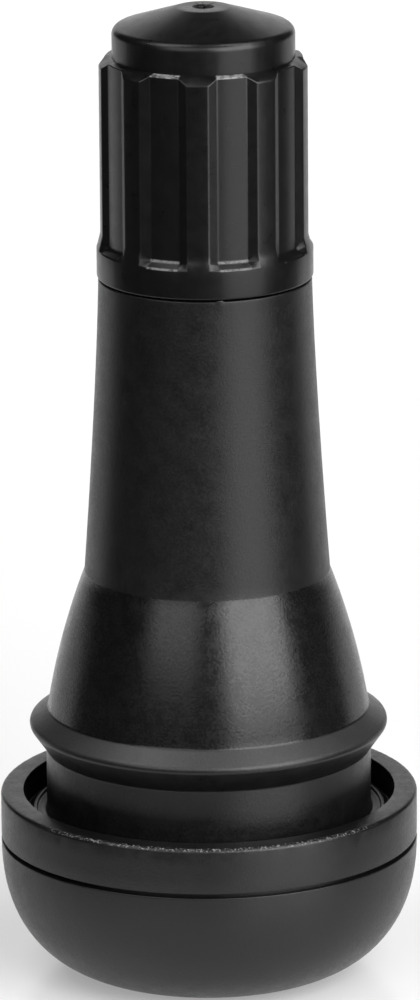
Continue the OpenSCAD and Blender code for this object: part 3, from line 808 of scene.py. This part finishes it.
def make_soft_finish(name, grain, dark, light, roughness):
    """Smooth moulded seal material."""
    material, tree, shader, place = new_material(name, roughness, specular=SEAL_SHEEN)
    skin = use_group(tree, grain, place, Grain=12000.0)
    wire(tree, mix_colour(tree, skin["Mottle"], dark, light), shader.inputs["Base Color"])
    wire(tree, remap(tree, skin["Mottle"], 0.3, 0.7, roughness - 0.05, roughness + 0.05),
         shader.inputs["Roughness"])
    bump(tree, shader, skin["Height"], 0.2, 0.01)
    return material


def dress(piece, material):
    piece.data.materials.clear()
    piece.data.materials.append(material)


def place_piece(piece, body, slot, material, *nodes):
    """Gives a piece its finish and the body it moves with, and hides the solids it stands for."""
    dress(piece, material)
    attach(piece, body)
    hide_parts(*nodes)


# Studio

def seen_by_eye(tree):
    """One for rays that show the picture or a reflection, zero for those that only carry light."""
    rays = tree.nodes.new("ShaderNodeLightPath")
    seen = math_node(tree, "MAXIMUM", rays.outputs["Is Camera Ray"], rays.outputs["Is Glossy Ray"])
    return math_node(tree, "MAXIMUM", seen, rays.outputs["Is Transmission Ray"])


def make_floor():
    """A pale floor with a soft sheen, lifted to white further out, where less lamplight falls."""
    bpy.ops.object.select_all(action="DESELECT")
    bpy.ops.mesh.primitive_circle_add(vertices=96, radius=FLOOR_RADIUS, fill_type="NGON",
                                      location=(0, 0, 0))
    floor = bpy.context.object
    floor.name = "floor"
    material, tree, shader, place = new_material("floor_pale", FLOOR_ROUGHNESS,
                                                 specular=FLOOR_SHEEN)
    shader.inputs["Base Color"].default_value = (FLOOR_GREY, FLOOR_GREY, FLOOR_GREY, 1)
    shader.inputs["Emission Color"].default_value = (1, 1, 1, 1)
    x, y, _ = split_place(tree, place)
    lift = remap(tree, from_axis(tree, x, y), LIFT_FROM, LIFT_TO, LIFT_NEAR, LIFT_FAR)
    wire(tree, times(tree, seen_by_eye(tree), lift), shader.inputs["Emission Strength"])
    dress(floor, material)


def make_backdrop():
    """A white curved wall far behind the valve."""
    backdrop = part_turned("backdrop", [(BACKDROP_R / MM, 0), (BACKDROP_R / MM, BACKDROP_H / MM)],
                           90 - BACKDROP_REACH, 2 * BACKDROP_REACH, 32)
    material = bpy.data.materials.new("backdrop_white")
    material.use_nodes = True
    tree = material.node_tree
    tree.nodes.clear()
    out = tree.nodes.new("ShaderNodeOutputMaterial")
    paint = tree.nodes.new("ShaderNodeBsdfDiffuse")
    paint.inputs["Color"].default_value = (BACKDROP_GREY, BACKDROP_GREY, BACKDROP_GREY, 1)
    glow = tree.nodes.new("ShaderNodeEmission")
    mix = tree.nodes.new("ShaderNodeMixShader")
    wire(tree, seen_by_eye(tree), mix.inputs["Fac"])
    wire(tree, paint.outputs["BSDF"], mix.inputs[1])
    wire(tree, glow.outputs["Emission"], mix.inputs[2])
    wire(tree, mix.outputs["Shader"], out.inputs["Surface"])
    dress(backdrop, material)


def make_dark_card(name, left, right):
    """A black card just over the floor, between two turns, that shows only in reflections."""
    line = [(CARD_NEAR / MM, CARD_HEIGHT / MM), (CARD_FAR / MM, CARD_HEIGHT / MM)]
    card = part_turned(name, line, left - 90, right - left, 24)
    material, _, shader, _ = new_material(name, CARD_ROUGHNESS)
    shader.inputs["Base Color"].default_value = (CARD_GREY, CARD_GREY, CARD_GREY, 1)
    dress(card, material)
    card.visible_camera = card.visible_diffuse = card.visible_shadow = False


def add_softbox(name, turn, lift, away, width, height, radiance):
    """An area lamp aimed at the valve."""
    a, e = math.radians(turn), math.radians(lift)
    offset = Vector((math.sin(a) * math.cos(e), -math.cos(a) * math.cos(e), math.sin(e))) * away
    bpy.ops.object.light_add(type="AREA", location=AIM + offset)
    lamp = bpy.context.object
    lamp.name = name
    lamp.rotation_euler = (-offset).to_track_quat("-Z", "Y").to_euler()
    lamp.data.shape = "RECTANGLE"
    lamp.data.size, lamp.data.size_y = width, height
    lamp.data.energy = radiance * math.pi * width * height
    lamp.visible_camera = False


def set_world():
    world = bpy.data.worlds.new("studio")
    world.use_nodes = True
    ambient = world.node_tree.nodes["Background"]
    ambient.inputs["Color"].default_value = (1, 1, 1, 1)
    ambient.inputs["Strength"].default_value = AMBIENT
    bpy.context.scene.world = world


def set_camera():
    """Stands where the photograph was taken: in front, a little above, with a long lens."""
    lift = math.radians(CAMERA_LIFT)
    back = Vector((0, -math.cos(lift), math.sin(lift)))
    data = bpy.data.cameras.new("camera")
    camera = bpy.data.objects.new("camera", data)
    bpy.context.scene.collection.objects.link(camera)
    data.sensor_width, data.lens, data.shift_x = SENSOR, LENS, SHIFT_X
    data.clip_start, data.clip_end = CLIP_START, CLIP_END
    camera.location = AIM + back * CAMERA_AWAY
    camera.rotation_mode = "QUATERNION"
    roll = Quaternion(back, math.radians(CAMERA_ROLL))
    camera.rotation_quaternion = roll @ (-back).to_track_quat("-Z", "Y")
    bpy.context.scene.camera = camera


# The valve

grain = make_grain_group()
dust = make_dust_group()
turned_marks = make_turned_group()
rubber = make_rubber_finish(grain, dust)
cap_plastic = make_cap_finish(grain)
stem_brass = make_metal_finish("stem_brass_turned", turned_marks, STEM_DARK, STEM_LIGHT, 0.27)
core_brass = make_metal_finish("core_brass_turned", turned_marks, CORE_DARK, CORE_LIGHT, 0.3)
core_steel = make_metal_finish("core_steel_drawn", turned_marks, STEEL_DARK, STEEL_LIGHT, 0.25)
gasket_red = make_soft_finish("gasket_plastic_smooth", grain, GASKET_DARK, GASKET_LIGHT, 0.35)
seal_rubber = make_soft_finish("seal_rubber_smooth", grain, SEAL_DARK, SEAL_LIGHT, 0.55)

place_piece(make_rubber_body(), "valve", "body_rubber", rubber, "rubber_body")
place_piece(make_cap(), "cap", "cap_plastic", cap_plastic, "cap_shell")
place_piece(make_stem(), "valve", "stem_brass", stem_brass, "brass_stem")
place_piece(make_plug(), "valve", "core_brass", core_brass, "core_plug")
place_piece(make_pin(), "pin", "core_steel", core_steel, "core_pin")
spring = make_spring()
place_piece(spring, "valve", "core_steel", core_steel, "core_spring")
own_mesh(spring)
for node, material in (("core_barrel", core_brass), ("plunger_cup", core_brass),
                       ("barrel_gasket", gasket_red), ("plunger_gasket", seal_rubber),
                       ("cap_seal", seal_rubber)):
    dress(frame["nodes"][node], material)

# The picture

make_floor()
make_backdrop()
for card in DARK_CARDS:
    make_dark_card(*card)
for softbox in SOFTBOXES:
    add_softbox(*softbox)
set_world()
set_camera()
bpy.context.scene.view_settings.view_transform = "Standard"
